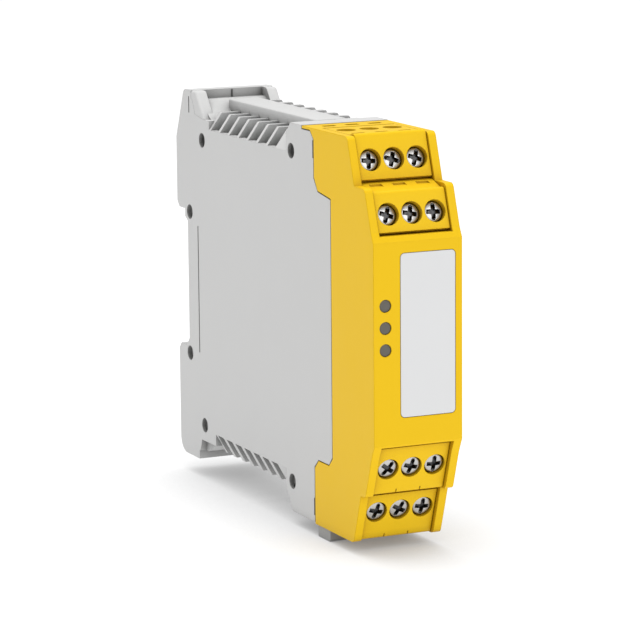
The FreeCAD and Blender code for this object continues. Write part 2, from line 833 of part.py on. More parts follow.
# ---- front cover ----
def makeCover():
    body = newBody("front_cover")
    upperRear, upperFront, lowerFront, lowerRear = tiers
    lead = s.cheekLead
    corner = s.coverCorner
    topEdge = (upperRear.front(s.coverTop, lead), s.coverTop)
    stepEdge = (upperFront.front(s.upperStep, lead), s.upperStep)
    lowStepEdge = (lowerFront.front(s.lowerStep, lead), s.lowerStep)
    bottomEdge = (lowerRear.front(s.coverBottom, lead), s.coverBottom)
    lipUnder = s.coverTop - s.lipThick
    side = [
        (s.lipRear, s.coverTop),
        topEdge,
        (upperRear.front(s.upperStep, lead), s.upperStep),
        stepEdge,
        (upperFront.front(s.panelHigh, lead), s.panelHigh),
        (s.moduleDepth, s.panelBend),
        (s.moduleDepth, s.panelLow),
        (lowerFront.front(s.panelFoot, lead), s.panelFoot),
        lowStepEdge,
        (lowerRear.front(s.lowerStep, lead), s.lowerStep),
        bottomEdge,
        (s.coverRearLow, s.coverBottom),
        (s.coverRearLow, s.coverStepLow - 2 * corner),
        (s.coverRearLow + corner, s.coverStepLow - corner),
        (s.coverRearMid - corner, s.coverStepLow - corner),
        (s.coverRearMid, s.coverStepLow),
        (s.coverRearMid, s.coverStepHigh),
        (s.coverRearHigh + corner, s.coverStepHigh + corner / 2),
        (s.coverRearHigh, s.coverStepHigh + 2 * corner),
        (s.coverRearHigh, lipUnder - corner),
        (s.coverRearHigh - corner, lipUnder),
        (s.lipRear, lipUnder),
    ]
    sketch = addOutline(body, "CoverSide", "YZ_Plane", sideCorners(side))
    addPad(body, sketch, s.moduleWidth, middle=True)
    rounded = sideCorners([topEdge, stepEdge, lowStepEdge, bottomEdge])
    roundCorners(body, rounded, s.cheekRound, "CoverRound")

    # the bays between the cheeks: upper terminals, the space behind the panel, lower terminals
    between = s.moduleWidth - 2 * s.cheek
    past = s.moduleDepth + 3
    behind = s.coverRearHigh - 5
    shelfFront = upperRear.front(upperShelfTop, zero) - 1
    upperBay = [
        (s.lipFront, s.coverTop + 3),
        (past, s.coverTop + 3),
        (past, panelShelfTop),
        (behind, panelShelfTop),
        (behind, shelfUnder),
        (shelfFront, shelfUnder),
        (shelfFront, upperShelfTop),
        (behind, upperShelfTop),
        (behind, lipUnder - corner),
        (s.lipFront, lipUnder - corner),
    ]
    middleBay = [
        (behind, panelShelfTop - s.shelfThick),
        (s.moduleDepth - s.panelThick, panelShelfTop - s.shelfThick),
        (s.moduleDepth - s.panelThick, lowShelfBottom + s.shelfThick),
        (behind, lowShelfBottom + s.shelfThick),
    ]
    lowerBay = [
        (behind, lowShelfBottom),
        (past, lowShelfBottom),
        (past, s.coverBottom - 3),
        (s.bottomLipFront, s.coverBottom - 3),
        (s.bottomLipFront, s.coverBottom + s.bottomLipThick),
        (behind, s.coverBottom + s.bottomLipThick),
    ]
    for label, corners in (("Upper", upperBay), ("Middle", middleBay), ("Lower", lowerBay)):
        sketch = addOutline(body, f"Cover{label}Bay", "YZ_Plane", sideCorners(corners))
        addPocket(body, sketch, between, middle=True)

    # recess for the label, holes for the lenses, and the small test holes in the top lip
    recess = [
        (-s.labelLeft - s.labelGap, s.labelLow - s.labelGap),
        (s.labelRight + s.labelGap, s.labelLow - s.labelGap),
        (s.labelRight + s.labelGap, s.labelHigh + s.labelGap),
        (-s.labelLeft - s.labelGap, s.labelHigh + s.labelGap),
    ]
    sketch = addOutline(body, "LabelRecess", "XZ_Plane", recess, s.moduleDepth / 2 - s.labelThick)
    addPocket(body, sketch, s.labelThick + 1, reverse=True)
    roundCorners(body, recess, s.labelRound + s.labelGap, "RecessRound", "XZ_Plane")
    for number in range(3):
        height = s.lensHigh - s.lensPitch * number
        sketch = addCircle(body, f"LensHole{number + 1}", "XZ_Plane", -s.lensPlace, height,
                           s.lensRadius + s.lensGap, s.moduleDepth / 2 - s.panelThick - 0.1)
        addPocket(body, sketch, s.panelThick + 1, reverse=True)
    for number, offset in enumerate(poleOffsets(), start=1):
        rear = alongY(s.lipHolePlace)
        corners = [
            (offset - s.lipHoleWide / 2, rear),
            (offset + s.lipHoleWide / 2, rear),
            (offset + s.lipHoleWide / 2, rear - s.lipHoleLong),
            (offset - s.lipHoleWide / 2, rear - s.lipHoleLong),
        ]
        sketch = addOutline(body, f"LipHole{number}", "XY_Plane", corners, s.coverTop - s.lipThick - 1)
        addPocket(body, sketch, s.lipThick + 2, reverse=True)


makeCover()


# ---- terminal blocks ----
def makePlug(tier):
    name = tier.name + "_plug"
    body = newBody(name)
    lead = s.headRecess
    outside = tier.high
    if tier.sign < 0:
        outside = tier.low
    nose = (tier.front(outside, lead), outside)
    profile = [
        (tier.rear, tier.low),
        (tier.front(tier.low, lead), tier.low),
        (tier.front(tier.high, lead), tier.high),
        (tier.rear, tier.high),
    ]
    halfWide = half - s.cheek - s.plugGap
    sketch = addOutline(body, name + "Side", "YZ_Plane", sideCorners(profile))
    addPad(body, sketch, halfWide * 2, middle=True)
    roundCorners(body, sideCorners([nose]), s.faceRound, name + "Nose")

    # every pole has a screw bore, a chamber for its nut, a wire hole and a socket at the back
    turn = tier.turn()
    shankHole = s.shankRadius + s.shankGap
    sideways = s.chamberHalf * cosine(turn)
    upwards = s.chamberHalf * sine(turn)
    boreY, boreZ = tier.inward(s.headThick + s.boreFloorGap)
    throatY, throatZ = tier.inward(s.chamberFront + 0.5)
    chamberY, chamberZ = tier.inward(s.chamberRear)
    wireY, wireZ = tier.inward(s.wireDepth)
    reach = (outside - wireZ) * tier.sign + 1
    wireFoot = wireZ
    if tier.sign < 0:
        wireFoot = outside - 1
    socketFront = tier.contactFront() + s.contactGap
    for pole, offset in enumerate(poleOffsets(), start=1):
        label = f"{name}{pole}"
        addDrill(body, label + "Bore", (offset, boreY, boreZ), turn, s.boreRadius, s.boreRadius, asSize(8))
        addDrill(body, label + "Throat", (offset, throatY, throatZ), turn, shankHole, shankHole, asSize(2))
        addBoxCut(body, label + "Chamber",
                  (offset - s.chamberHalfWide, chamberY - sideways, chamberZ - upwards), turn,
                  s.chamberHalfWide * 2, s.chamberHalf * 2, s.chamberRear - s.chamberFront)
        addBoxCut(body, label + "Wire", (offset - s.wireWide / 2, wireY - s.wireLong / 2, wireFoot), zero,
                  s.wireWide, s.wireLong, reach)
        addBoxCut(body, label + "Socket",
                  (offset - s.contactWide / 2 - s.contactGap, alongY(socketFront),
                   tier.pinHeight() - s.contactTall / 2 - s.contactGap), zero,
                  s.contactWide + 2 * s.contactGap, socketFront - tier.rear + 1,
                  s.contactTall + 2 * s.contactGap)
        if tier.deepWells:
            addDrill(body, label + "Well", (offset, alongY(s.wellPlace), outside - s.wellDeep), zero,
                     s.wellFoot, s.wellRadius, s.wellDeep)
        dimpleY = alongY(tier.front(outside, lead) - s.dimpleInset)
        addDrill(body, label + "Dimple", (offset + s.polePitch / 4, dimpleY, outside - s.dimpleRadius), zero,
                 s.dimpleRadius, s.dimpleRadius, s.dimpleRadius * 2)

    # shallow bridges join the bores, and a notch in each side frees the block from the cheeks
    bridgeY, bridgeZ = tier.inward(s.bridgeDeep - s.headRecess * cosine(s.faceTilt))
    lift = s.bridgeTall / 2
    addBoxCut(body, name + "Bridge",
              (-s.polePitch, bridgeY - lift * cosine(turn), bridgeZ - lift * sine(turn)), turn,
              s.polePitch * 2, s.bridgeTall, asSize(3))
    notchY, notchZ = tier.inward(s.latchNotchDeep + 1.5)
    lift = s.latchNotch / 2
    for label, corner in (("Left", -halfWide - 1), ("Right", halfWide - s.latchNotchDeep)):
        addBoxCut(body, name + label + "Notch",
                  (corner, notchY - lift * cosine(turn), notchZ - lift * sine(turn)), turn,
                  s.latchNotchDeep + 1, s.latchNotch, asSize(5))
    if tier.sign < 0:
        for label, side in (("Left", -1), ("Right", 1)):
            addBoxCut(body, name + label + "Split",
                      (s.polePitch / 2 * side - s.splitWide / 2, alongY(tier.front(outside, lead) + 1),
                       outside - 1), zero,
                      s.splitWide, s.faceRound + 1.5, s.splitTall + 1)


# A screw with a combined cross and straight recess; its own +Z is the outward axis and
# its origin is the middle of the head's face.
def makeScrew(tier, pole, offset):
    name = f"{tier.name}_screw_{pole}"
    body = newBody(name)
    head = s.headRadius
    profile = [
        (zero, zero),
        (head, zero),
        (head, -s.headThick),
        (s.shankRadius, -s.headThick),
        (s.shankRadius, -s.screwLength),
        (zero, -s.screwLength),
    ]
    sketch = addOutline(body, name + "Profile", "XZ_Plane", profile)
    turned = body.newObject("PartDesign::Revolution", name + "Turned")
    turned.Profile = sketch
    turned.ReferenceAxis = (sketch, ["V_Axis"])
    turned.Angle = 360
    for label, wide, deep in (("Slot", s.recessLong, s.recessWide), ("Cross", s.recessWide, s.recessLong)):
        corners = [(-wide / 2, -deep / 2), (wide / 2, -deep / 2), (wide / 2, deep / 2), (-wide / 2, deep / 2)]
        sketch = addOutline(body, name + label, "XY_Plane", corners)
        addPocket(body, sketch, s.recessDeep)
    y, z = tier.inward(zero)
    placeItem(body, (offset, y, z), tier.turn())


# The nut that rises along its screw to grip the wire.
def makeNut(tier, pole, offset):
    name = f"{tier.name}_nut_{pole}"
    block = addBox(name + "Block", (zero, zero, s.nutThick / 2), s.nutHalfWide * 2, s.nutHalf * 2, s.nutThick)
    hole = addCylinder(name + "Hole", (zero, zero, asSize(-1)), zero, s.shankRadius + s.shankGap, s.nutThick + 2)
    nut = keep(addCut(name, block, hole), name)
    y, z = tier.inward(s.nutFront + s.nutThick)
    placeItem(nut, (offset, y, z), tier.turn())


def makeInnerParts(tier):
    height = tier.pinHeight()
    contactFront = tier.contactFront()
    contactRear = tier.rear + s.contactSink
    contactMiddle = alongY((contactFront + contactRear) / 2)
    contactLong = contactFront - contactRear
    pinFront = contactFront - s.contactLip - s.slideGap
    headerFront = tier.rear - s.slideGap
    headerRear = headerFront - s.headerThick
    hole = s.pinSize + 2 * s.pinGap
    contacts = []
    pins = []
    holes = []
    for number, offset in enumerate(poleOffsets(), start=1):
        label = f"{tier.name}Pole{number}"
        shell = addBox(label + "Shell", (offset, contactMiddle, height), s.contactWide, contactLong, s.contactTall)
        inside = addBox(label + "Inside", (offset, contactMiddle + s.contactLip, height), hole, contactLong, hole)
        contacts.append(addCut(label + "Contact", shell, inside))
        pinRear = headerRear - s.pinTail
        pinMiddle = alongY((pinFront + pinRear) / 2)
        pins.append(addBox(label + "Pin", (offset, pinMiddle, height), s.pinSize, pinFront - pinRear, s.pinSize))
        holes.append(addBox(label + "Hole", (offset, alongY((headerFront + headerRear) / 2), height),
                            hole, s.headerThick + 2, hole))
    addGroup(tier.name + "_contacts", contacts)
    addGroup(tier.name + "_pins", pins)
    block = addBox(tier.name + "HeaderBlock", (zero, alongY((headerFront + headerRear) / 2), height),
                   s.moduleWidth - 2 * s.cheek - 2 * s.plugGap, s.headerThick, s.headerTall)
    drilled = doc.addObject("Part::MultiFuse", tier.name + "HeaderHoles")
    drilled.Shapes = holes
    keep(addCut(tier.name + "_header", block, drilled), tier.name + "_header")


for tier in tiers:
    makePlug(tier)
    makeInnerParts(tier)
    for pole, offset in enumerate(poleOffsets(), start=1):
        makeScrew(tier, pole, offset)
        makeNut(tier, pole, offset)


# ---- label, lenses and foot block ----
def makeLabel():
    body = newBody("label_plate")
    corners = [
        (-s.labelLeft, s.labelLow),
        (s.labelRight, s.labelLow),
        (s.labelRight, s.labelHigh),
        (-s.labelLeft, s.labelHigh),
    ]
    sketch = addOutline(body, "LabelOutline", "XZ_Plane", corners, s.moduleDepth / 2 - s.labelThick)
    addPad(body, sketch, s.labelThick)
    roundCorners(body, corners, s.labelRound, "LabelCorners", "XZ_Plane")


def makeLens(number, label):
    body = newBody(f"{label}_lens")
    height = s.lensHigh - s.lensPitch * number
    face = addCircle(body, label + "LensFace", "XZ_Plane", -s.lensPlace, height, s.lensRadius,
                     s.moduleDepth / 2 - s.panelThick)
    addPad(body, face, s.panelThick - 0.2)
    pipe = addCircle(body, label + "LensPipe", "XZ_Plane", -s.lensPlace, height, s.pipeRadius,
                     s.moduleDepth / 2 - s.panelThick - s.pipeReach)
    addPad(body, pipe, s.pipeReach + 0.1)


def makeFootBlock():
    body = newBody("foot_block")
    rear = s.footBlockRear
    front = s.footBlockFront
    profile = [
        (rear, zero),
        (front - s.footBlockBevel, zero),
        (front, s.footBlockBevel),
        (front, s.coverBottom),
        (rear, s.coverBottom),
    ]
    sketch = addOutline(body, "FootBlockSide", "YZ_Plane", sideCorners(profile))
    addPad(body, sketch, s.footBlockHalf * 2, middle=True)


makeLabel()
for number, label in enumerate(("upper", "middle", "lower")):
    makeLens(number, label)
makeFootBlock()


# ---- rail latch and its spring ----
def makeLatch():
    body = newBody("rail_latch")
    gap = s.latchGap
    front = s.railSeat - s.railThick
    blade = [
        (gap + 0.5, s.latchLow),
        (gap + 0.5, s.railLow - 1.5),
        (front - 1.4, s.latchTip),
        (front, s.latchTip),
        (front, s.railLow - 0.5),
        (s.channelDeep - gap, s.railLow - 0.5),
        (s.channelDeep - gap, s.latchLow),
    ]
    sketch = addOutline(body, "LatchBlade", "YZ_Plane", sideCorners(blade))
    addPad(body, sketch, (s.mouthHalf - gap) * 2, middle=True)
    wing = [
        (s.mouthDeep + gap, s.latchLow),
        (s.channelDeep - gap, s.latchLow),
        (s.channelDeep - gap, s.railLow - 0.5),
        (s.mouthDeep + gap, s.railLow - 0.5),
    ]
    sketch = addOutline(body, "LatchWing", "YZ_Plane", sideCorners(wing))
    addPad(body, sketch, (s.channelHalf - gap) * 2, middle=True)
    lug = [
        (s.channelDeep - gap - 0.5, s.springTop + 0.1),
        (s.wellFront - gap, s.springTop + 0.1),
        (s.wellFront - gap, s.springTop + 0.1 + s.lugThick),
        (s.channelDeep - gap - 0.5, s.springTop + 0.1 + s.lugThick),
    ]
    sketch = addOutline(body, "LatchLug", "YZ_Plane", sideCorners(lug))
    addPad(body, sketch, (s.wellHalf - gap) * 2, middle=True)


# A flat strip bent to and fro, that pushes the latch up.
def makeSpring():
    body = newBody("latch_spring")
    reach = s.wellHalf - 0.4
    low = s.wellLow + 0.1
    bends = int(s.springBends.value)
    rise = (s.springTop - low) / s.springBends
    leftEdge = []
    rightEdge = []
    for index in range(bends + 1):
        swing = (reach - s.springStrip / 2) * (1 if index % 2 else -1)
        height = low + rise * index
        leftEdge.append((swing - s.springStrip / 2, height))
        rightEdge.append((swing + s.springStrip / 2, height))
    sketch = addOutline(body, "SpringStrip", "XZ_Plane", leftEdge + rightEdge[::-1],
                        s.channelDeep + 0.5 - s.moduleDepth / 2)
    addPad(body, sketch, s.wellFront - s.channelDeep - 0.9)


makeLatch()
makeSpring()


# ---- boards and the parts on them ----
boardLeft = -(half - s.wall - s.boardStand)
boardFace = boardLeft + s.boardThick


def makeMainBoard():
    body = newBody("main_circuit_board")
    corners = [
        (s.boardRear, s.boardLow),
        (s.boardFront, s.boardLow),
        (s.boardFront, s.boardTongueLow),
        (s.boardTongueFront, s.boardTongueLow),
        (s.boardTongueFront, s.boardTongueHigh),
        (s.boardFront, s.boardTongueHigh),
        (s.boardFront, s.boardHigh),
        (s.boardRear, s.boardHigh),
    ]
    sketch = addOutline(body, "BoardOutline", "YZ_Plane", sideCorners(corners), boardLeft)
    addPad(body, sketch, s.boardThick)


# A block that stands on the main board, by its depth, height and sizes.
def addOnBoard(name, depth, height, tall, long, high):
    block = addBox(name, (boardFace + asSize(tall) / 2, alongY(asSize(depth)), asSize(height)),
                   asSize(tall), asSize(long), asSize(high))
    return keep(block, name)


def makeBoardParts():
    addOnBoard("first_relay", 44, 71, 15.6, 28, 13)
    addOnBoard("second_relay", 44, 55, 15.6, 28, 13)
    addOnBoard("transformer", 31, 31, 15, 22, 20)
    addOnBoard("logic_chip", 66, 62, 2.2, 9, 9)
    addOnBoard("optocoupler", 66, 46, 3.5, 10, 7)
    capacitor = addCylinder("capacitor", (boardFace + 5, alongY(asSize(48)), asSize(28)), asSize(90), asSize(5),
                            asSize(20))
    keep(capacitor, "capacitor")
    frontBoard = addBox("front_circuit_board",
                        (zero, alongY(s.frontBoardPlace + s.frontBoardThick / 2),
                         (panelShelfTop + lowShelfBottom) / 2),
                        s.moduleWidth - 2 * s.cheek - 2 * s.boardClear, s.frontBoardThick,
                        panelShelfTop - lowShelfBottom - 2 * s.shelfThick - 2 * s.boardClear)
    keep(frontBoard, "front_circuit_board")
    linkRear = s.boardTongueFront - 4
    link = addBox("board_connector", (boardFace + 1.5, alongY((linkRear + s.frontBoardPlace) / 2), asSize(56)),
                  asSize(3), s.frontBoardPlace - linkRear, asSize(14))
    keep(link, "board_connector")
    lights = []
    for number in range(3):
        height = s.lensHigh - s.lensPitch * number
        rear = s.frontBoardPlace + s.frontBoardThick
        front = s.moduleDepth - s.panelThick - s.pipeReach - 0.2
        lights.append(addBox(f"Light{number + 1}", (-s.lensPlace + 0.2, alongY((rear + front) / 2), height),
                             asSize(1.4), front - rear, asSize(1.6)))
    addGroup("indicator_lights", lights)


makeMainBoard()
makeBoardParts()

# ---- checks and export ----
doc.recompute()
for item in doc.Objects:
    for word in item.State:
        if word in ("Invalid", "Error"):
            raise RuntimeError(f"{item.Name} is {word}")
os.makedirs("parts", exist_ok=True)
for name, item in subParts.items():
    shape = item.Shape
    if shape.isNull() or not shape.isValid() or not shape.Solids:
        raise RuntimeError(f"{name} has no valid solid")
for name, item in subParts.items():
    item.Shape.exportStep(f"parts/{name}.step")
    box = item.Shape.BoundBox
    print(f"{name:28s} {len(item.Shape.Solids)} {item.Shape.Volume:9.1f} "
          f"{box.XMin:7.2f} {box.XMax:7.2f} {box.YMin:7.2f} {box.YMax:7.2f} {box.ZMin:7.2f} {box.ZMax:7.2f}")
print(len(subParts), "sub-parts")
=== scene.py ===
import bpy
import json
import math
from mathutils import Matrix, Vector


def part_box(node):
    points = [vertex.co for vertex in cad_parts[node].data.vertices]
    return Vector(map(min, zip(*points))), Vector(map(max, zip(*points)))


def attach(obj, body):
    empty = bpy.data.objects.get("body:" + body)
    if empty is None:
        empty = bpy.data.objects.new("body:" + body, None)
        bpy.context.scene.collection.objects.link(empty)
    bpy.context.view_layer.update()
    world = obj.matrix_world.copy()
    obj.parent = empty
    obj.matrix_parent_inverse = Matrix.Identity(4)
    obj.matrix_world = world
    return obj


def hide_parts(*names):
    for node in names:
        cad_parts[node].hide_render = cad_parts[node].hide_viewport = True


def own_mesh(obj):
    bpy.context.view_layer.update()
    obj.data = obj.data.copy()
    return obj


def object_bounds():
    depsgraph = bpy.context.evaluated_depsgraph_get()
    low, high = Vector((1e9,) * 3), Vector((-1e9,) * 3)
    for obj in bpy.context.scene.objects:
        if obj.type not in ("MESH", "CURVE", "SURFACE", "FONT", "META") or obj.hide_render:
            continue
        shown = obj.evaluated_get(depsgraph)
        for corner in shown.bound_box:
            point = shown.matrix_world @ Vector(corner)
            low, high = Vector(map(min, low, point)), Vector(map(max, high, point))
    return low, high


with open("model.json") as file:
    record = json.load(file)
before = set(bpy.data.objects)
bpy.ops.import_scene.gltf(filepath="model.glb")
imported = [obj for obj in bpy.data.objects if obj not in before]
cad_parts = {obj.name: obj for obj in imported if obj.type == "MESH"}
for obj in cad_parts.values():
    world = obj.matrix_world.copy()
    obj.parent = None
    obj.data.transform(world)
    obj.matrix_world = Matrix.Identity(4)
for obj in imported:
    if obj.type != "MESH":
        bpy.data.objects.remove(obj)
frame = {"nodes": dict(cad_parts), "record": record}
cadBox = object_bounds()
print("frame loaded")


# Place and clipping in metres, angles in degrees, lens and sensor in millimetres.
cameraSettings = {
    "place": (-0.3309, -0.71615, 0.1884),
    "azimuth": -24.935,
    "elevation": 10.168,
    "roll": -0.484,
    "lens": 185.6,
    "sensor": 36,
    "near": 0.01,
    "far": 20,
}


def addCamera():
    azimuth = math.radians(cameraSettings["azimuth"])
    elevation = math.radians(cameraSettings["elevation"])
    roll = math.radians(cameraSettings["roll"])
    forward = Vector((-math.sin(azimuth) * math.cos(elevation), math.cos(azimuth) * math.cos(elevation),
                      -math.sin(elevation)))
    right = Vector((math.cos(azimuth), math.sin(azimuth), 0))
    up = right.cross(forward)
    across = right * math.cos(roll) + up * math.sin(roll)
    upward = up * math.cos(roll) - right * math.sin(roll)
    data = bpy.data.cameras.new("camera")
    data.lens = cameraSettings["lens"]
    data.sensor_width = cameraSettings["sensor"]
    data.clip_start = cameraSettings["near"]
    data.clip_end = cameraSettings["far"]
    camera = bpy.data.objects.new("camera", data)
    turn = Matrix((across, upward, -forward)).transposed().to_4x4()
    camera.matrix_world = Matrix.Translation(Vector(cameraSettings["place"])) @ turn
    bpy.context.scene.collection.objects.link(camera)
    bpy.context.scene.camera = camera


# Size in metres, power in watts, place in metres; every lamp looks at the middle of the module.
lampSettings = {
    "top": {"size": 0.75, "power": 8.0, "place": (-0.1, 0.1, 1.0), "colour": (1, 1, 1)},
    "front": {"size": 0.6, "power": 3.0, "place": (0.3, -1.1, 0.5), "colour": (1, 1, 1)},
}
lampAim = (0, 0, 0.05)
worldBrightness = 0.48


def addLights():
    middle = Vector(lampAim)
    for name, lamp in lampSettings.items():
        data = bpy.data.lights.new(name, "AREA")
        data.shape = "SQUARE"
        data.size = lamp["size"]
        data.energy = lamp["power"]
        data.color = lamp["colour"]
        item = bpy.data.objects.new(name, data)
        place = Vector(lamp["place"])
        turn = (middle - place).to_track_quat("-Z", "Y").to_matrix().to_4x4()
        item.matrix_world = Matrix.Translation(place) @ turn
        bpy.context.scene.collection.objects.link(item)
    world = bpy.data.worlds.new("studio")
    world.use_nodes = True
    background = world.node_tree.nodes["Background"]
    background.inputs["Color"].default_value = (1, 1, 1, 1)
    background.inputs["Strength"].default_value = worldBrightness
    bpy.context.scene.world = world
    bpy.context.scene.view_settings.view_transform = "Standard"
    bpy.context.scene.view_settings.look = "None"


# A socket whose arithmetic adds Math nodes.
class Field:
    def __init__(self, tree, socket=None):
        self.tree = tree
        self.socket = socket

    def make(self, kind, settings=None, inputs=None, output=0):
        node = self.tree.nodes.new(kind)
        for name, value in (settings or {}).items():
            setattr(node, name, value)
        for name, value in (inputs or {}).items():
            if isinstance(value, Field):
                self.tree.links.new(value.socket, node.inputs[name])
            else:
                node.inputs[name].default_value = value
        return Field(self.tree, node.outputs[output])

    def math(self, operation, *values):
        return self.make("ShaderNodeMath", {"operation": operation}, dict(enumerate(values)))

    def __add__(self, other):
        return self.math("ADD", self, other)

    def __radd__(self, other):
        return self.math("ADD", other, self)

    def __sub__(self, other):
        return self.math("SUBTRACT", self, other)

    def __rsub__(self, other):
        return self.math("SUBTRACT", other, self)

    def __mul__(self, other):
        return self.math("MULTIPLY", self, other)

    def __rmul__(self, other):
        return self.math("MULTIPLY", other, self)


def newMaterial(name):
    material = bpy.data.materials.new(name)
    material.use_nodes = True
    tree = material.node_tree
    shader = tree.nodes["Principled BSDF"]
    return material, Field(tree), shader


def connect(field, shader, name):
    field.tree.links.new(field.socket, shader.inputs[name])


def noise(field, coordinates, scale, detail=2.0, rough=0.5):
    return field.make("ShaderNodeTexNoise", None,
                      {"Vector": coordinates, "Scale": scale, "Detail": detail, "Roughness": rough})


# The places of the mix node's colour sockets among its inputs and outputs.
colourSockets = {"first": 6, "second": 7, "result": 2}


def blendColour(field, factor, first, second):
    tones = [tone if isinstance(tone, Field) else (*tone, 1) for tone in (first, second)]
    inputs = {"Factor": factor, colourSockets["first"]: tones[0], colourSockets["second"]: tones[1]}
    return field.make("ShaderNodeMix", {"data_type": "RGBA"}, inputs, colourSockets["result"])


# Painted shade darkens corners and gaps within this reach in metres, more strongly as the fade rises.
paintedShadeReach = 0.005
paintedShadeFade = 1.3

# Clouds and smears are noise scales; the shares say how far smears and grain move the roughness.
skinSettings = {"clouds": 55, "cloudDetail": 3.0, "smears": 140, "smearDetail": 4.0, "grainRough": 0.6,
                "smooth": 0.06, "smearShare": 0.08, "grainShare": 0.04, "bump": 0.5, "shadeSamples": 4,
                "edgeSamples": 6}

# Colour, its cloudy second tone, painted shade for its crevices, roughness, gloss, scale and depth
# of the moulded grain, and rounding of edges. Lengths in metres.
plastics = {
    "yellowCover": {
        "colour": (0.88, 0.555, 0.008), "tone": (0.86, 0.54, 0.0075),
        "paintedCreviceShade": (0.36, 0.19, 0.004), "rough": 0.45, "shine": 0.14,
        "grain": 5200, "depth": 0.000012, "edge": 0.00035,
    },
    "yellowTerminal": {
        "colour": (0.88, 0.56, 0.009), "tone": (0.86, 0.545, 0.0085),
        "paintedCreviceShade": (0.36, 0.19, 0.004), "rough": 0.45, "shine": 0.16,
        "grain": 5200, "depth": 0.000012, "edge": 0.0003,
    },
    "greyHousing": {
        "colour": (0.625, 0.625, 0.62), "tone": (0.61, 0.61, 0.605),
        "paintedCreviceShade": (0.06, 0.06, 0.058), "rough": 0.55, "shine": 0.3,
        "grain": 4200, "depth": 0.000030, "edge": 0.0003,
    },
    "greyLatch": {
        "colour": (0.47, 0.47, 0.46), "tone": (0.43, 0.43, 0.42),
        "paintedCreviceShade": (0.22, 0.22, 0.215), "rough": 0.5, "shine": 0.3,
        "grain": 4200, "depth": 0.000020, "edge": 0.0003,
    },
    "labelFilm": {
        "colour": (0.74, 0.745, 0.75), "tone": (0.725, 0.73, 0.735),
        "paintedCreviceShade": (0.2, 0.2, 0.2), "rough": 0.42, "shine": 0.3,
        "grain": 2600, "depth": 0.000008, "edge": 0.0001,
    },
    "shadowGrey": {
        "colour": (0.1, 0.1, 0.098), "tone": (0.08, 0.08, 0.078),
        "paintedCreviceShade": (0.03, 0.03, 0.03), "rough": 0.6, "shine": 0.2,
        "grain": 4200, "depth": 0.000020, "edge": 0.0002,
    },
    "blackPlastic": {
        "colour": (0.02, 0.02, 0.021), "tone": (0.03, 0.03, 0.03),
        "paintedCreviceShade": (0.01, 0.01, 0.01), "rough": 0.45, "shine": 0.5,
        "grain": 3000, "depth": 0.000020, "edge": 0.0002,
    },
    "relayCase": {
        "colour": (0.03, 0.1, 0.33), "tone": (0.025, 0.08, 0.28),
        "paintedCreviceShade": (0.01, 0.01, 0.01), "rough": 0.4, "shine": 0.5,
        "grain": 3000, "depth": 0.000010, "edge": 0.0004,
    },
    "windings": {
        "colour": (0.05, 0.045, 0.04), "tone": (0.09, 0.07, 0.05),
        "paintedCreviceShade": (0.01, 0.01, 0.01), "rough": 0.55, "shine": 0.5,
        "grain": 1800, "depth": 0.000060, "edge": 0.0003,
    },
    "sleeve": {
        "colour": (0.015, 0.017, 0.03), "tone": (0.02, 0.024, 0.045),
        "paintedCreviceShade": (0.01, 0.01, 0.01), "rough": 0.3, "shine": 0.5,
        "grain": 2000, "depth": 0.000010, "edge": 0.0003,
    },
    "clearLight": {
        "colour": (0.72, 0.72, 0.68), "tone": (0.66, 0.66, 0.6),
        "paintedCreviceShade": (0.01, 0.01, 0.01), "rough": 0.2, "shine": 0.5,
        "grain": 1500, "depth": 0.000010, "edge": 0.0001,
    },
}


def plasticMaterial(name):
    values = plastics[name]
    material, field, shader = newMaterial(name)
    coordinates = field.make("ShaderNodeTexCoord", None, None, "Object")
    cloud = noise(field, coordinates, skinSettings["clouds"], skinSettings["cloudDetail"])
    colour = blendColour(field, cloud, values["tone"], values["colour"])
    # Painted shade: ambient occlusion blends the colour towards the crevice shade in corners and gaps.
    paintedShadeFactor = field.make("ShaderNodeAmbientOcclusion", {"samples": skinSettings["shadeSamples"]},
                          {"Distance": paintedShadeReach}, 1)
    connect(blendColour(field, field.math("POWER", paintedShadeFactor, paintedShadeFade), values["paintedCreviceShade"], colour),
            shader, "Base Color")
    shader.inputs["Specular IOR Level"].default_value = values["shine"]
    grain = noise(field, coordinates, values["grain"], rough=skinSettings["grainRough"])
    smear = noise(field, coordinates, skinSettings["smears"], skinSettings["smearDetail"])
    rough = values["rough"] - skinSettings["smooth"] + smear * skinSettings["smearShare"]
    connect(rough + grain * skinSettings["grainShare"], shader, "Roughness")
    edge = field.make("ShaderNodeBevel", {"samples": skinSettings["edgeSamples"]},
                      {"Radius": values["edge"]})
    bump = field.make("ShaderNodeBump", None, {"Strength": skinSettings["bump"],
                                               "Distance": values["depth"],
                                               "Height": grain, "Normal": edge})
    connect(bump, shader, "Normal")
    return material


# Lengths in metres; the dull share darkens the clouds.
metalSettings = {"clouds": 500, "detail": 3.0, "dull": 0.82, "smooth": 0.05, "cloudShare": 0.12,
                 "edge": 0.00012, "edgeSamples": 4, "bump": 0.4, "depth": 0.00001}
metals = {
    "zincNut": {"colour": (0.55, 0.55, 0.54), "rough": 0.38, "grain": 2500},
    "tinnedBrass": {"colour": (0.70, 0.60, 0.38), "rough": 0.3, "grain": 2500},
    "springSteel": {"colour": (0.42, 0.42, 0.43), "rough": 0.3, "grain": 3000},
    "nickel": {"colour": (0.60, 0.595, 0.585), "rough": 0.34, "grain": 2200},
    # Painted shade: a dark nickel for the screws' cross recesses and head rims, where shade falls.
    "paintedShadeNickel": {"colour": (0.10, 0.10, 0.102), "rough": 0.36, "grain": 2600},
}


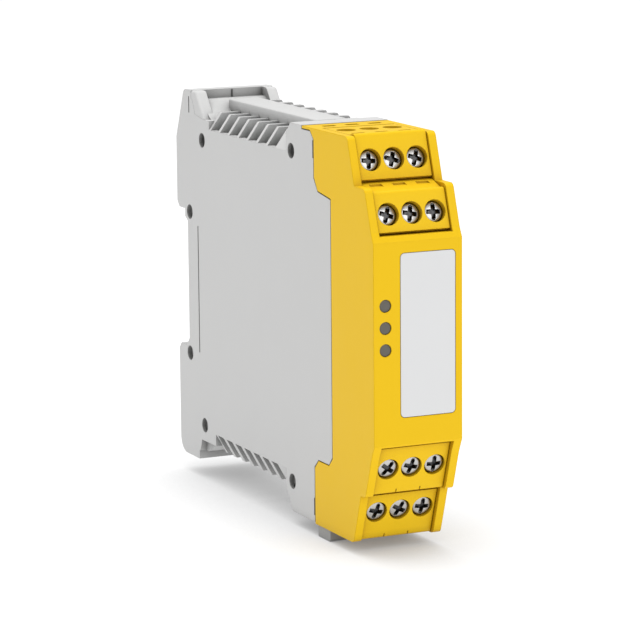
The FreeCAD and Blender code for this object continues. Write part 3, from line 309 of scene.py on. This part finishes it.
def metalMaterial(name):
    values = metals[name]
    material, field, shader = newMaterial(name)
    coordinates = field.make("ShaderNodeTexCoord", None, None, "Object")
    cloud = noise(field, coordinates, metalSettings["clouds"], metalSettings["detail"])
    dull = tuple(part * metalSettings["dull"] for part in values["colour"])
    connect(blendColour(field, cloud, dull, values["colour"]), shader, "Base Color")
    grain = noise(field, coordinates, values["grain"], metalSettings["detail"])
    rough = values["rough"] - metalSettings["smooth"] + cloud * metalSettings["cloudShare"]
    connect(rough, shader, "Roughness")
    shader.inputs["Metallic"].default_value = 1.0
    edge = field.make("ShaderNodeBevel", {"samples": metalSettings["edgeSamples"]},
                      {"Radius": metalSettings["edge"]})
    bump = field.make("ShaderNodeBump", None, {"Strength": metalSettings["bump"],
                                               "Distance": metalSettings["depth"],
                                               "Height": grain, "Normal": edge})
    connect(bump, shader, "Normal")
    return material


lensSettings = {"colour": (0.13, 0.12, 0.10), "tone": (0.09, 0.085, 0.07), "rough": 0.22, "clouds": 700,
                "cloudShare": 0.05, "edge": 0.0004, "edgeSamples": 6}


def lensMaterial():
    material, field, shader = newMaterial("smokedLens")
    coordinates = field.make("ShaderNodeTexCoord", None, None, "Object")
    cloud = noise(field, coordinates, lensSettings["clouds"])
    connect(blendColour(field, cloud, lensSettings["tone"], lensSettings["colour"]), shader, "Base Color")
    connect(lensSettings["rough"] + cloud * lensSettings["cloudShare"], shader, "Roughness")
    edge = field.make("ShaderNodeBevel", {"samples": lensSettings["edgeSamples"]},
                      {"Radius": lensSettings["edge"]})
    connect(edge, shader, "Normal")
    return material


boardSettings = {"mask": (0.012, 0.085, 0.03), "copper": (0.03, 0.15, 0.05), "tracks": 300,
                 "trackWide": 0.12, "rough": 0.35, "trackShare": 0.1}


def boardMaterial():
    material, field, shader = newMaterial("circuitBoard")
    coordinates = field.make("ShaderNodeTexCoord", None, None, "Object")
    tracks = field.make("ShaderNodeTexVoronoi", {"feature": "DISTANCE_TO_EDGE", "distance": "MANHATTAN"},
                        {"Vector": coordinates, "Scale": boardSettings["tracks"]})
    mask = field.math("LESS_THAN", tracks, boardSettings["trackWide"])
    connect(blendColour(field, mask, boardSettings["mask"], boardSettings["copper"]), shader, "Base Color")
    connect(boardSettings["rough"] + mask * boardSettings["trackShare"], shader, "Roughness")
    return material


def dressNodes():
    made = {
        "yellow_cover": plasticMaterial("yellowCover"),
        "yellow_terminal": plasticMaterial("yellowTerminal"),
        "grey_housing": plasticMaterial("greyHousing"),
        "grey_latch": plasticMaterial("greyLatch"),
        "label_plate": plasticMaterial("labelFilm"),
        "lens": lensMaterial(),
        "nickel_screw": metalMaterial("nickel"),
        "zinc_nut": metalMaterial("zincNut"),
        "brass_pins": metalMaterial("tinnedBrass"),
        "spring_steel": metalMaterial("springSteel"),
        "circuit_board": boardMaterial(),
        "relay_case": plasticMaterial("relayCase"),
        "transformer": plasticMaterial("windings"),
        "capacitor": plasticMaterial("sleeve"),
        "black_plastic": plasticMaterial("blackPlastic"),
        "led_clear": plasticMaterial("clearLight"),
    }
    slots = {entry["node"]: entry["material_slot"] for entry in frame["record"]["subparts"]}
    for name, item in frame["nodes"].items():
        for slot in item.material_slots:
            slot.material = made[slots[name]]
    return made


# Lengths in metres: corners closer than the first are taken as one place, farther than the second as two.
samePlace = 0.0001
otherPlace = 0.001
smoothAngle = math.radians(40)
cutAngle = math.radians(30)
facing = 0.5  # a face looks along an axis when more than this share of its normal does


def choose(item):
    bpy.ops.object.select_all(action="DESELECT")
    bpy.context.view_layer.objects.active = item
    item.select_set(True)


def addBlock(name, low, high):
    bpy.ops.object.select_all(action="DESELECT")
    middle = [(first + last) / 2 for first, last in zip(low, high)]
    bpy.ops.mesh.primitive_cube_add(size=1, location=middle,
                                    scale=[last - first for first, last in zip(low, high)])
    block = bpy.context.object
    block.name = name
    bpy.ops.object.transform_apply(location=True, rotation=True, scale=True)
    return block


def moveCorners(block, wanted, shift):
    bpy.ops.object.mode_set(mode="EDIT")
    bpy.ops.mesh.select_all(action="DESELECT")
    bpy.ops.mesh.select_mode(type="VERT")
    bpy.ops.object.mode_set(mode="OBJECT")
    for vertex in block.data.vertices:
        vertex.select = wanted(vertex.co)
    bpy.ops.object.mode_set(mode="EDIT")
    bpy.ops.transform.translate(value=shift)
    bpy.ops.object.mode_set(mode="OBJECT")


def roundEdges(block, width, segments, wanted):
    bpy.ops.object.mode_set(mode="EDIT")
    bpy.ops.mesh.select_all(action="DESELECT")
    bpy.ops.mesh.select_mode(type="EDGE")
    bpy.ops.object.mode_set(mode="OBJECT")
    for edge in block.data.edges:
        ends = [block.data.vertices[corner].co for corner in edge.vertices]
        edge.select = wanted(*ends)
    bpy.ops.object.mode_set(mode="EDIT")
    bpy.ops.mesh.bevel(offset=width, segments=segments)
    bpy.ops.object.mode_set(mode="OBJECT")
    bpy.ops.object.shade_smooth_by_angle(angle=smoothAngle)


def cutWith(block, cutter):
    cut = block.modifiers.new("cut", "BOOLEAN")
    cut.object = cutter
    cut.operation = "DIFFERENCE"
    cut.solver = "EXACT"
    choose(block)
    bpy.ops.object.modifier_apply(modifier=cut.name)
    bpy.data.objects.remove(cutter)


# End walls of the top lug, in metres from the outer side and from the rear face.
lugSettings = {"wide": 0.0029, "rear": 0.0097, "front": 0.0127, "lean": 0.0054, "foot": 0.0922,
               "edge": 0.0006, "frontSteps": 5, "sideSteps": 3, "inset": 0.00003, "seam": 0.00014,
               "seamDeep": 0.0005, "seamTop": 0.0002, "shelf": 0.0968}


def addLugWalls():
    sizes = lugSettings
    inset = Vector((sizes["inset"], 0, sizes["inset"]))
    low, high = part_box("left_housing_half")[0] + inset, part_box("right_housing_half")[1] - inset
    back = high.y - sizes["rear"]
    ahead = back - otherPlace
    sides = (("left", low.x, low.x + sizes["wide"]), ("right", high.x - sizes["wide"], high.x))
    for side, near, far in sides:
        wall = addBlock(side + "_lugWall", (near, high.y - sizes["front"], sizes["foot"]),
                        (far, back, high.z))
        moveCorners(wall, lambda corner: corner.y < ahead and corner.z < high.z - otherPlace,
                    (0, -sizes["lean"], 0))
        outer = near if side == "left" else far
        roundEdges(wall, sizes["edge"], sizes["frontSteps"],
                   lambda a, b: abs(a.z - high.z) + abs(b.z - high.z) < samePlace
                   and abs(a.x - b.x) > otherPlace and a.y < ahead)
        roundEdges(wall, sizes["edge"], sizes["sideSteps"],
                   lambda a, b: abs(a.x - outer) + abs(b.x - outer) < samePlace
                   and max(a.z, b.z) > sizes["foot"] + otherPlace and min(a.y, b.y) < ahead)
        wall.data.materials.append(nodeMaterials["grey_housing"])
        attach(wall, "module")
    # A thin dark strip in shadow grey, painted as the shade in the seam's groove on the lug's back wall.
    seam = addBlock("lugSeamShade", (-sizes["seam"] / 2, back - sizes["seamDeep"], sizes["shelf"]),
                    (sizes["seam"] / 2, back, high.z - sizes["seamTop"]))
    seam.data.materials.append(materials["shadowGrey"])
    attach(seam, "module")


# The bar along the top between the two rows of vents.
spineSettings = {"left": -0.0030, "right": 0.0052, "rear": 0.0150, "front": 0.0668, "low": 0.0940,
                 "top": 0.0969, "edge": 0.0003, "steps": 3}


def addSpine():
    sizes = spineSettings
    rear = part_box("left_housing_half")[1].y
    spine = addBlock("topSpine", (sizes["left"], rear - sizes["front"], sizes["low"]),
                     (sizes["right"], rear - sizes["rear"], sizes["top"]))
    roundEdges(spine, sizes["edge"], sizes["steps"], lambda a, b: min(a.z, b.z) > sizes["top"] - samePlace)
    spine.data.materials.append(nodeMaterials["grey_housing"])
    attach(spine, "module")


# The sloped top of the upper front block, with shallow dents over its wire entries. Places in metres.
capSettings = {"rear": -0.0447, "level": -0.0461, "front": -0.0513, "high": 0.08662, "nose": 0.08500,
               "low": 0.0846, "entryWide": 0.0032, "entryLong": 0.0024, "entryPlace": -0.0484,
               "entryFloor": 0.0858, "entryTop": 0.09, "pitch": 0.00592}


def addTopCap():
    sizes = capSettings
    low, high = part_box("upper_front_plug")
    cap = addBlock("upper_front_topCap", (low.x, sizes["front"], sizes["low"]),
                   (high.x, sizes["rear"], sizes["high"]))
    bpy.ops.object.mode_set(mode="EDIT")
    bpy.ops.mesh.select_all(action="SELECT")
    bpy.ops.mesh.bisect(plane_co=(0, sizes["level"], 0), plane_no=(0, 1, 0))
    bpy.ops.object.mode_set(mode="OBJECT")
    moveCorners(cap, lambda corner: corner.y < sizes["front"] + samePlace
                and corner.z > sizes["high"] - samePlace, (0, 0, sizes["nose"] - sizes["high"]))
    entryRear = sizes["entryPlace"] + sizes["entryLong"] / 2
    entryFront = sizes["entryPlace"] - sizes["entryLong"] / 2
    for middle in (-sizes["pitch"], 0, sizes["pitch"]):
        left, right = middle - sizes["entryWide"] / 2, middle + sizes["entryWide"] / 2
        cutWith(cap, addBlock("entry", (left, entryFront, sizes["entryFloor"]),
                              (right, entryRear, sizes["entryTop"])))
    bpy.ops.object.shade_smooth_by_angle(angle=cutAngle)
    cap.data.materials.append(nodeMaterials["yellow_terminal"])
    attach(cap, "upper_front_terminal_block")


# Dark cups, painted shade in the blind sockets of both sides: each socket's distance from the rear face and
# its height.
cupSettings = {"radius": 0.00162, "deep": 0.00107, "aside": 0.00018, "thick": 0.0003, "steps": 32,
               "lip": 0.0003, "slope": 0.0002, "hollow": 0.00015,
               "places": ((0.0166, 0.0871), (0.0704, 0.0905), (0.0114, 0.0680), (0.0104, 0.0319),
                          (0.0160, 0.0116), (0.0695, 0.0080))}


def addCups():
    sizes = cupSettings
    low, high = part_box("left_housing_half")[0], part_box("right_housing_half")[1]
    for number, (depth, height) in enumerate(sizes["places"], start=1):
        for side, face, inward in (("left", low.x, 1), ("right", high.x, -1)):
            bpy.ops.object.select_all(action="DESELECT")
            bpy.ops.mesh.primitive_cylinder_add(
                vertices=sizes["steps"], radius=sizes["radius"], depth=sizes["thick"],
                rotation=(0, math.pi / 2, 0),
                location=(face + inward * sizes["deep"], high.y - depth + sizes["aside"], height))
            cup = bpy.context.object
            cup.name = f"{side}_socketShadeCup_{number}"
            bpy.ops.object.transform_apply(location=True, rotation=True)
            bpy.ops.object.mode_set(mode="EDIT")
            bpy.ops.mesh.select_mode(type="FACE")
            bpy.ops.object.mode_set(mode="OBJECT")
            # The cup's floor and lip are shadow grey, painted as the shade inside the socket.
            selectFaces(cup.data, lambda face: face.normal.x * inward < -facing)
            bpy.ops.object.mode_set(mode="EDIT")
            bpy.ops.mesh.inset(thickness=sizes["lip"], depth=0)
            bpy.ops.mesh.inset(thickness=sizes["slope"], depth=-sizes["hollow"])
            bpy.ops.object.mode_set(mode="OBJECT")
            bpy.ops.object.shade_smooth_by_angle(angle=smoothAngle)
            cup.data.materials.append(materials["shadowGrey"])
            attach(cup, "module")


# A combined slot and cross head. Lengths in metres, angles in degrees, turns clockwise; each dome step
# is an inset and a rise.
screwSettings = {
    "radius": 0.00247,
    "sink": {"upper": 0.0002, "lower": 0.0},
    "rim": 0.0004,
    "dome": ((0.00022, 0.00022), (0.00038, 0.00012), (0.00055, 0.00008), (0.0006, 0.00004)),
    # width of the outer ring painted dark as the shade on the head's falling rim
    "paintedShadeRing": 0.0003,
    "shank": 0.00105,
    "reach": 0.0046,
    "cross": {"long": 0.0037, "wide": 0.00108, "deep": 0.0009, "narrow": 0.75},
    "slot": {"long": 0.0044, "wide": 0.0007, "deep": 0.00036, "narrow": 0.9},
    "cutter": 0.001,
    "edge": 0.00005,
    "edgeSteps": 2,
    "steps": 48,
    "smooth": 35,
    "turns": {"upper_rear": (6, -72, 20), "upper_front": (20, 12, 3), "lower_front": (36, 14, 0),
              "lower_rear": (14, 28, 5)},
}


def selectFaces(mesh, wanted):
    for face in mesh.polygons:
        face.select = wanted(face)


def cutCross(screw, shape, top):
    turned = (shape["long"], shape["wide"]), (shape["wide"], shape["long"])
    for long, wide in turned if shape is screwSettings["cross"] else turned[1:]:
        bpy.ops.object.select_all(action="DESELECT")
        tall = screwSettings["cutter"]
        bpy.ops.mesh.primitive_cube_add(size=1, location=(0, 0, top - shape["deep"] + tall / 2),
                                        scale=(long, wide, tall))
        cutter = bpy.context.object
        bpy.ops.object.transform_apply(location=True, scale=True)
        bpy.ops.object.mode_set(mode="EDIT")
        bpy.ops.mesh.select_all(action="DESELECT")
        bpy.ops.mesh.select_mode(type="FACE")
        bpy.ops.object.mode_set(mode="OBJECT")
        selectFaces(cutter.data, lambda face: face.normal.z < -facing)
        bpy.ops.object.mode_set(mode="EDIT")
        bpy.ops.transform.resize(value=(shape["narrow"], shape["narrow"], 1),
                                 center_override=(0, 0, 0))
        bpy.ops.object.mode_set(mode="OBJECT")
        # The recess faces take the painted shade nickel.
        cutter.data.materials.append(materials["paintedShadeNickel"])
        cut = screw.modifiers.new("recess", "BOOLEAN")
        cut.object = cutter
        cut.operation = "DIFFERENCE"
        cut.solver = "EXACT"
        cut.material_mode = "TRANSFER"
        choose(screw)
        bpy.ops.object.modifier_apply(modifier=cut.name)
        bpy.data.objects.remove(cutter)


def makeScrewHead():
    sizes = screwSettings
    bpy.ops.object.select_all(action="DESELECT")
    bpy.ops.mesh.primitive_cylinder_add(vertices=sizes["steps"], radius=sizes["radius"], depth=sizes["rim"],
                                        location=(0, 0, -sizes["rim"] / 2))
    screw = bpy.context.object
    bpy.ops.object.transform_apply(location=True)
    screw.data.materials.append(materials["nickel"])
    screw.data.materials.append(materials["paintedShadeNickel"])
    bpy.ops.object.mode_set(mode="EDIT")
    bpy.ops.mesh.select_mode(type="FACE")
    bpy.ops.object.mode_set(mode="OBJECT")
    selectFaces(screw.data, lambda face: face.normal.z > facing)
    bpy.ops.object.mode_set(mode="EDIT")
    for inset, rise in sizes["dome"]:
        bpy.ops.mesh.inset(thickness=inset, depth=rise)
    bpy.ops.object.mode_set(mode="OBJECT")
    top = max(vertex.co.z for vertex in screw.data.vertices)
    selectFaces(screw.data, lambda face: face.normal.z < -facing)
    bpy.ops.object.mode_set(mode="EDIT")
    bpy.ops.mesh.inset(thickness=sizes["radius"] - sizes["shank"], depth=0)
    shank = (0, 0, sizes["rim"] - sizes["reach"])
    bpy.ops.mesh.extrude_region_move(TRANSFORM_OT_translate={"value": shank})
    bpy.ops.object.mode_set(mode="OBJECT")
    # Painted shade: the head's outer ring takes the dark nickel.
    for face in screw.data.polygons:
        if math.hypot(face.center.x, face.center.y) > sizes["radius"] - sizes["paintedShadeRing"]:
            face.material_index = 1
    for shape in (sizes["cross"], sizes["slot"]):
        cutCross(screw, shape, top)
    soften = screw.modifiers.new("soften", "BEVEL")
    soften.width = sizes["edge"]
    soften.segments = sizes["edgeSteps"]
    soften.limit_method = "ANGLE"
    soften.angle_limit = smoothAngle
    bpy.ops.object.modifier_apply(modifier=soften.name)
    bpy.ops.object.shade_smooth_by_angle(angle=math.radians(sizes["smooth"]))
    return screw


def addScrews():
    pattern = makeScrewHead()
    for joint in frame["record"]["behaviour"]["joints"]:
        body = joint["child"]
        if "_screw_" not in body:
            continue
        tier, number = body.split("_screw_")
        outward = -Vector(joint["axis"])
        across = Vector((1, 0, 0))
        frontTurn = Matrix((across, outward.cross(across), outward)).transposed().to_4x4()
        turn = Matrix.Rotation(math.radians(-screwSettings["turns"][tier][int(number) - 1]), 4, "Z")
        screw = pattern.copy()
        screw.data = pattern.data.copy()
        screw.name = tier + "_screwHead_" + number
        bpy.context.scene.collection.objects.link(screw)
        sink = outward * screwSettings["sink"][tier.split("_")[0]]
        screw.matrix_world = Matrix.Translation(Vector(joint["pos_m"]) - sink) @ frontTurn @ turn
        choose(screw)
        bpy.ops.object.transform_apply(location=True, rotation=True, scale=True)
        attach(screw, body)
        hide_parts(body)
    bpy.data.objects.remove(pattern)


# The latch spring stands on the housing.
springSettings = {"foot": 0.0116, "keep": 0.76, "weld": 0.00001, "edge": 0.00008, "steps": 2}


def addSpring():
    node = frame["nodes"]["latch_spring"]
    spring = bpy.data.objects.new("latchSpring", node.data.copy())
    bpy.context.scene.collection.objects.link(spring)
    spring.matrix_world = node.matrix_world.copy()
    choose(spring)
    bpy.ops.object.transform_apply(location=True, rotation=True, scale=True)
    bpy.ops.object.mode_set(mode="EDIT")
    bpy.ops.mesh.select_all(action="SELECT")
    bpy.ops.mesh.remove_doubles(threshold=springSettings["weld"])
    bpy.ops.object.mode_set(mode="OBJECT")
    rounding = spring.modifiers.new("rounding", "BEVEL")
    rounding.width = springSettings["edge"]
    rounding.segments = springSettings["steps"]
    rounding.limit_method = "ANGLE"
    bpy.ops.object.modifier_apply(modifier=rounding.name)
    bpy.ops.object.shade_smooth_by_angle(angle=cutAngle)
    spring.data.materials.clear()
    spring.data.materials.append(nodeMaterials["spring_steel"])
    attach(spring, "module")
    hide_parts("latch_spring")
    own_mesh(spring)


# Flat fronts of the plugs around their screws, in metres.
plateSettings = {"halfWide": 0.00912, "thick": {"upper": 0.0009, "lower": 0.0004}, "back": 0.0015,
                 "lift": 0.0011, "trim": 0.00015, "hole": 0.00262, "steps": 48, "drill": 0.02,
                 "round": 0.0009, "roundSteps": 5, "edge": 0.0002, "edgeSteps": 2, "face": 0.0002,
                 "marks": (-0.00306, 0.00306), "markWide": 0.00022, "markTall": 0.0013, "markReach": 0.001,
                 "markDeep": 0.01}


def addFacePlates():
    sizes = plateSettings
    joints = frame["record"]["behaviour"]["joints"]
    for tier in screwSettings["turns"]:
        screws = [joint for joint in joints if joint["child"].startswith(tier + "_screw_")]
        across = Vector((1, 0, 0))
        outward = -Vector(screws[0]["axis"])
        upward = outward.cross(across)
        plug = frame["nodes"][tier + "_plug"]
        corners = [plug.matrix_world @ vertex.co for vertex in plug.data.vertices]
        front = max(corner.dot(outward) for corner in corners)
        face = [corner for corner in corners if corner.dot(outward) > front - sizes["face"]]
        heights = [corner.dot(upward) for corner in face]
        low, high = min(heights) + sizes["trim"], max(heights) - sizes["trim"]
        isUpper = tier.startswith("upper")
        thick = sizes["thick"][tier.split("_")[0]]
        if isUpper:
            high += sizes["lift"]
        else:
            low -= sizes["lift"]
        plate = addBlock(tier + "_plugFront", (-sizes["halfWide"], low, -sizes["back"]),
                         (sizes["halfWide"], high, thick))
        free = high if isUpper else low
        roundEdges(plate, sizes["round"], sizes["roundSteps"],
                   lambda a, b: min(a.z, b.z) > thick - samePlace
                   and abs(a.y - free) + abs(b.y - free) < samePlace)
        roundEdges(plate, sizes["edge"], sizes["edgeSteps"],
                   lambda a, b: min(a.z, b.z) > -samePlace and abs(a.x - b.x) < samePlace
                   and abs(abs(a.x) - sizes["halfWide"]) < samePlace)
        for screw in screws:
            place = Vector(screw["pos_m"])
            bpy.ops.object.select_all(action="DESELECT")
            bpy.ops.mesh.primitive_cylinder_add(vertices=sizes["steps"], radius=sizes["hole"],
                                                depth=sizes["drill"],
                                                location=(place.x, place.dot(upward), 0))
            cutWith(plate, bpy.context.object)
        if not isUpper:
            for middle in sizes["marks"]:
                left, right = middle - sizes["markWide"] / 2, middle + sizes["markWide"] / 2
                cutWith(plate, addBlock("mark", (left, low - sizes["markReach"], -sizes["markDeep"]),
                                        (right, low + sizes["markTall"], sizes["markDeep"])))
        bpy.ops.object.shade_smooth_by_angle(angle=cutAngle)
        turn = Matrix((across, upward, outward)).transposed().to_4x4()
        plate.matrix_world = Matrix.Translation(outward * front) @ turn
        bpy.ops.object.transform_apply(location=True, rotation=True, scale=True)
        plate.data.materials.append(nodeMaterials["yellow_terminal"])
        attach(plate, tier + "_terminal_block")


# A plain pale floor that glows a little, with a painted shadow that darkens it near the module. Lengths in
# metres.
floorSettings = {"size": 6.0, "drop": 0.0001, "colour": (0.3, 0.3, 0.302), "clouds": 3, "dull": 0.985,
                 "glow": 0.85, "light": (1, 1, 1), "paintedShadow": (0.2, 0.2, 0.2), "reach": 0.045, "samples": 8,
                 "rough": 0.7, "shine": 0.1}


def addFloor():
    bpy.ops.object.select_all(action="DESELECT")
    bpy.ops.mesh.primitive_plane_add(size=floorSettings["size"],
                                     location=(0, 0, cadBox[0][2] - floorSettings["drop"]))
    floor = bpy.context.object
    floor.name = "floor"
    bpy.ops.object.transform_apply(location=True)
    material, field, shader = newMaterial("paleFloor")
    coordinates = field.make("ShaderNodeTexCoord", None, None, "Object")
    cloud = noise(field, coordinates, floorSettings["clouds"])
    tone = tuple(part * floorSettings["dull"] for part in floorSettings["colour"])
    connect(blendColour(field, cloud, tone, floorSettings["colour"]), shader, "Base Color")
    shader.inputs["Roughness"].default_value = floorSettings["rough"]
    shader.inputs["Specular IOR Level"].default_value = floorSettings["shine"]
    # Painted shadow: the glow turns to the shadow tone where the module is near.
    paintedShadeFactor = field.make("ShaderNodeAmbientOcclusion", {"samples": floorSettings["samples"]},
                          {"Distance": floorSettings["reach"]}, 1)
    connect(blendColour(field, paintedShadeFactor, floorSettings["paintedShadow"], floorSettings["light"]), shader,
            "Emission Color")
    shader.inputs["Emission Strength"].default_value = floorSettings["glow"]
    floor.data.materials.append(material)


addCamera()
addLights()
nodeMaterials = dressNodes()
materials = {"nickel": nodeMaterials["nickel_screw"], "paintedShadeNickel": metalMaterial("paintedShadeNickel"),
             "shadowGrey": plasticMaterial("shadowGrey")}
addFloor()
print("materials, floor and lights made")
addScrews()
addFacePlates()
print("screws and plug fronts made")
addLugWalls()
addSpine()
addTopCap()
addCups()
addSpring()
print("housing and block details made")
